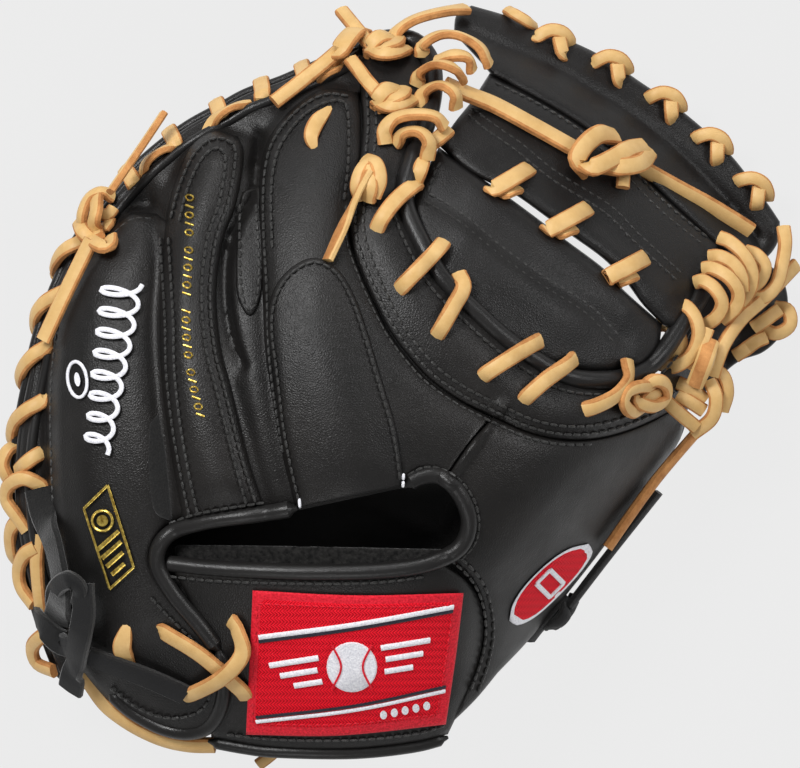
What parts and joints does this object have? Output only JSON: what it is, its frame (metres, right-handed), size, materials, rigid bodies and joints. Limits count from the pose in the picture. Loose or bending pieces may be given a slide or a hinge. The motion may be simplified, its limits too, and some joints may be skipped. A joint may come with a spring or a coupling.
{
  "type": "catcher's mitt",
  "caption": "Left-hand leather catcher's mitt with laced rim, laced web, padded pocket and wrist strap; the thumb side folds towards the fingers.",
  "frame": {"origin": "centre of the mitt's outline, on the plane that it lies on palm down", "axes": "+Z out of the back of the hand, +Y to the fingertips, +X to the thumb"},
  "size_m": [0.2646, 0.2578, 0.1026],
  "materials": {
    "black_leather": "full-grain, slightly waxed",
    "palm_leather": "full-grain, slightly waxed",
    "binding_leather": "smooth, rolled",
    "tan_lace": "rawhide, grain side pale, flesh side orange",
    "black_thong": "suede-edged strap leather",
    "padding": "pressed felt",
    "lining": "soft lining leather",
    "fur_lining": "short pile",
    "red_label": "woven",
    "web_leather": "full-grain, slightly waxed"
  },
  "bodies": {
    "hand": {"edge_panel": "black_leather", "pinky_stall": "black_leather", "ring_stall": "black_leather", "middle_stall": "black_leather", "index_stall": "black_leather", "index_finger_pad": "black_leather", "web_side_panel_fingers": "black_leather", "thumb_root_panel": "black_leather", "back_lining": "lining", "wrist_strap": "black_leather", "strap_fur_lining": "fur_lining", "strap_label": "red_label", "hand_opening_binding": "binding_leather", "strap_hem_binding": "binding_leather", "heel_binding": "binding_leather", "outer_rim_welt": "binding_leather", "inner_rim_welt": "binding_leather", "web_base_welt_fingers": "binding_leather", "palm_leather_fingers": "palm_leather", "palm_pad_fingers": "padding", "hand_lining": "lining", "web_lower_panel_fingers": "web_leather", "web_upper_panel_fingers": "web_leather", "web_top_bar_fingers": "web_leather", "rim_lace_loops": "tan_lace", "top_bar_lace_fingers": "tan_lace", "web_base_lace_fingers": "tan_lace", "web_tie_laces_fingers": "tan_lace", "web_cross_lace": "tan_lace", "web_cross_knot": "tan_lace", "web_index_lace": "tan_lace", "fingertip_knots": "tan_lace", "finger_knot": "tan_lace", "strap_cross_lace": "tan_lace", "heel_lace": "tan_lace", "pinky_thong": "black_thong", "pinky_thong_knot": "black_thong", "finger_lace_tail": "tan_lace", "rim_lace_tail": "tan_lace"},
    "thumb": {"palm_leather_thumb": "palm_leather", "palm_pad_thumb": "padding", "thumb_lace_knot": "tan_lace", "thumb_lace_tail": "tan_lace", "thumb_lining": "lining", "thumb_panel": "black_leather", "thumb_patch": "red_label", "thumb_thong_knot": "black_thong", "thumb_thong_tail": "black_thong", "thumb_tip_tongue": "web_leather", "top_bar_lace_thumb": "tan_lace", "web_base_lace_thumb": "tan_lace", "web_base_welt_thumb": "binding_leather", "web_cross_tail": "tan_lace", "web_lower_panel_thumb": "web_leather", "web_side_panel_thumb": "black_leather", "web_thumb_lace": "tan_lace", "web_tie_lace_thumb": "tan_lace", "web_top_bar_thumb": "web_leather", "web_upper_panel_thumb": "web_leather"}
  },
  "joints": [
    {"name": "thumb_fold", "type": "hinge", "parent": "hand", "child": "thumb", "pos_m": [0.023, -0.12, 0.02], "axis": [0.249, 0.9653, -0.0786], "range_deg": [0, 32], "stiffness_Nm_per_rad": 1.2}
  ]
}
